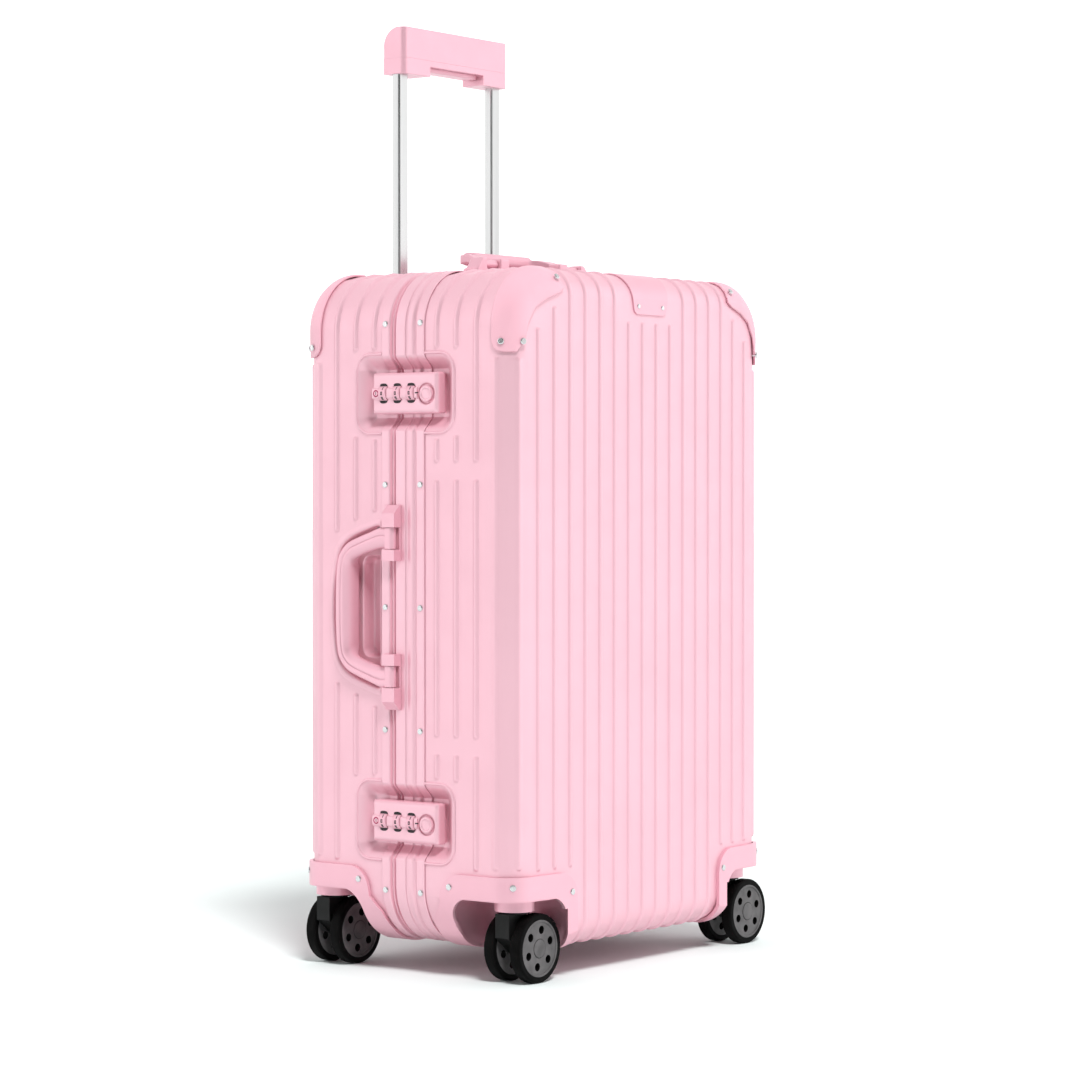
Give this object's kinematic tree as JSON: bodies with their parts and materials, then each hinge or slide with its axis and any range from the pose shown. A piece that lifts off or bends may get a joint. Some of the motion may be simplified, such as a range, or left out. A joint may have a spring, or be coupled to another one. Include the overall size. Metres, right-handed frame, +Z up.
{
  "type": "hard shell suitcase on wheels",
  "caption": "Ribbed hard shell suitcase with a framed lid, combination locks, folding carry handles, a telescopic trolley handle and twin-wheel swivel casters.",
  "frame": {"origin": "on the floor, under the middle of the object's overall plan outline", "axes": "+Z up; -Y towards the lid's wide face; +Y towards the trolley handle's side; -X towards the narrow side with locks and side handle; +X towards the hinges"},
  "size_m": [0.442, 0.2782, 0.93],
  "materials": {
    "shell": "satin, fine peach-skin texture",
    "trim": "satin moulded",
    "frame": "satin powder coat",
    "lock": "satin",
    "dial": "satin",
    "steel": "polished heads",
    "hinge": "brushed",
    "pole": "satin anodised",
    "sleeve": "plain",
    "grip": "satin",
    "fork": "fine grain",
    "hub": "satin",
    "tyre": "matte",
    "seal": "matte",
    "bush": "natural acetal",
    "lining": "woven",
    "strap": "webbing"
  },
  "bodies": {
    "case": {"back_shell": "shell", "back_frame": "frame", "frame_gasket": "seal", "back_rivets": "steel", "back_lining": "lining", "back_housing_left": "trim", "back_housing_right": "trim", "back_cap_left": "trim", "back_cap_right": "trim", "back_screws": "steel", "back_bearings": "bush", "pole_sleeves": "sleeve", "pole_collars": "trim", "lock_bases": "lock", "side_brackets": "frame", "top_brackets": "frame", "back_hinges": "hinge", "packing_straps": "strap"},
    "lid": {"front_shell": "shell", "front_frame": "frame", "front_rivets": "steel", "front_lining": "lining", "front_housing_left": "trim", "front_housing_right": "trim", "front_cap_left": "trim", "front_cap_right": "trim", "front_screws": "steel", "front_bearings": "bush", "edge_plate": "frame", "lock_strikes": "lock", "front_hinges": "hinge"},
    "swivel_front_left": {"fork_front_left": "fork"},
    "wheels_front_left": {"hubs_front_left": "hub", "tyres_front_left": "tyre"},
    "swivel_front_right": {"fork_front_right": "fork"},
    "wheels_front_right": {"hubs_front_right": "hub", "tyres_front_right": "tyre"},
    "swivel_back_left": {"fork_back_left": "fork"},
    "wheels_back_left": {"hubs_back_left": "hub", "tyres_back_left": "tyre"},
    "swivel_back_right": {"fork_back_right": "fork"},
    "wheels_back_right": {"hubs_back_right": "hub", "tyres_back_right": "tyre"},
    "handle_outer": {"middle_tubes": "pole"},
    "handle_inner": {"upper_tubes": "pole", "grip_cover": "grip", "grip_base": "grip"},
    "release": {"release_bar": "grip"},
    "side_grip": {"side_handle": "grip"},
    "top_grip": {"top_handle": "grip"},
    "lever_lower": {"lock_lever_lower": "lock"},
    "dial_lower_1": {"dial_lower_1": "dial"},
    "dial_lower_2": {"dial_lower_2": "dial"},
    "dial_lower_3": {"dial_lower_3": "dial"},
    "knob_lower": {"lock_knob_lower": "lock"},
    "lever_upper": {"lock_lever_upper": "lock"},
    "dial_upper_1": {"dial_upper_1": "dial"},
    "dial_upper_2": {"dial_upper_2": "dial"},
    "dial_upper_3": {"dial_upper_3": "dial"},
    "knob_upper": {"lock_knob_upper": "lock"}
  },
  "joints": [
    {"name": "lid_hinge", "type": "hinge", "parent": "case", "child": "lid", "pos_m": [0.217, -0.0013, 0.353], "axis": [0, 0, 1], "range_deg": [0, 165]},
    {"name": "swivel_front_left_turn", "type": "hinge", "parent": "lid", "child": "swivel_front_left", "pos_m": [-0.176, -0.106, 0.07], "axis": [0, 0, 1], "continuous": true},
    {"name": "wheels_front_left_roll", "type": "hinge", "parent": "swivel_front_left", "child": "wheels_front_left", "pos_m": [-0.164, -0.106, 0.033], "axis": [0, 1, 0], "continuous": true},
    {"name": "swivel_front_right_turn", "type": "hinge", "parent": "lid", "child": "swivel_front_right", "pos_m": [0.176, -0.106, 0.07], "axis": [0, 0, 1], "continuous": true},
    {"name": "wheels_front_right_roll", "type": "hinge", "parent": "swivel_front_right", "child": "wheels_front_right", "pos_m": [0.188, -0.106, 0.033], "axis": [0, 1, 0], "continuous": true},
    {"name": "swivel_back_left_turn", "type": "hinge", "parent": "case", "child": "swivel_back_left", "pos_m": [-0.176, 0.1165, 0.07], "axis": [0, 0, 1], "continuous": true},
    {"name": "wheels_back_left_roll", "type": "hinge", "parent": "swivel_back_left", "child": "wheels_back_left", "pos_m": [-0.164, 0.1165, 0.033], "axis": [0, 1, 0], "continuous": true},
    {"name": "swivel_back_right_turn", "type": "hinge", "parent": "case", "child": "swivel_back_right", "pos_m": [0.176, 0.1165, 0.07], "axis": [0, 0, 1], "continuous": true},
    {"name": "wheels_back_right_roll", "type": "hinge", "parent": "swivel_back_right", "child": "wheels_back_right", "pos_m": [0.188, 0.1165, 0.033], "axis": [0, 1, 0], "continuous": true},
    {"name": "trolley_outer_slide", "type": "slide", "parent": "case", "child": "handle_outer", "axis": [0, 0, 1], "range_m": [0, 0.19]},
    {"name": "trolley_inner_slide", "type": "slide", "parent": "handle_outer", "child": "handle_inner", "axis": [0, 0, 1], "range_m": [-0.2, 0]},
    {"name": "release_bar_press", "type": "slide", "parent": "handle_inner", "child": "release", "axis": [0, 0, 1], "range_m": [0, 0.004], "stiffness_N_per_m": 500, "springref_m": -0.002},
    {"name": "side_handle_swing", "type": "hinge", "parent": "case", "child": "side_grip", "pos_m": [-0.2156, 0.0116, 0.353], "axis": [0, 0, 1], "range_deg": [0, 90]},
    {"name": "top_handle_swing", "type": "hinge", "parent": "case", "child": "top_grip", "pos_m": [0, 0.0116, 0.6886], "axis": [1, 0, 0], "range_deg": [0, 90]},
    {"name": "lever_lower_lift", "type": "hinge", "parent": "case", "child": "lever_lower", "pos_m": [-0.204, 0.034, 0.1485], "axis": [0, 0, 1], "range_deg": [-75, 0]},
    {"name": "dial_lower_1_turn", "type": "hinge", "parent": "lever_lower", "child": "dial_lower_1", "pos_m": [-0.2089, 0.0235, 0.1485], "axis": [0, 1, 0], "continuous": true},
    {"name": "dial_lower_2_turn", "type": "hinge", "parent": "lever_lower", "child": "dial_lower_2", "pos_m": [-0.2089, 0.0065, 0.1485], "axis": [0, 1, 0], "continuous": true},
    {"name": "dial_lower_3_turn", "type": "hinge", "parent": "lever_lower", "child": "dial_lower_3", "pos_m": [-0.2089, -0.0105, 0.1485], "axis": [0, 1, 0], "continuous": true},
    {"name": "knob_lower_slide", "type": "slide", "parent": "lever_lower", "child": "knob_lower", "axis": [0, 0, -1], "range_m": [0, 0.002], "stiffness_N_per_m": 400, "springref_m": -0.001},
    {"name": "lever_upper_lift", "type": "hinge", "parent": "case", "child": "lever_upper", "pos_m": [-0.204, 0.034, 0.5575], "axis": [0, 0, 1], "range_deg": [-75, 0]},
    {"name": "dial_upper_1_turn", "type": "hinge", "parent": "lever_upper", "child": "dial_upper_1", "pos_m": [-0.2089, 0.0235, 0.5575], "axis": [0, 1, 0], "continuous": true},
    {"name": "dial_upper_2_turn", "type": "hinge", "parent": "lever_upper", "child": "dial_upper_2", "pos_m": [-0.2089, 0.0065, 0.5575], "axis": [0, 1, 0], "continuous": true},
    {"name": "dial_upper_3_turn", "type": "hinge", "parent": "lever_upper", "child": "dial_upper_3", "pos_m": [-0.2089, -0.0105, 0.5575], "axis": [0, 1, 0], "continuous": true},
    {"name": "knob_upper_slide", "type": "slide", "parent": "lever_upper", "child": "knob_upper", "axis": [0, 0, -1], "range_m": [0, 0.002], "stiffness_N_per_m": 400, "springref_m": -0.001}
  ]
}
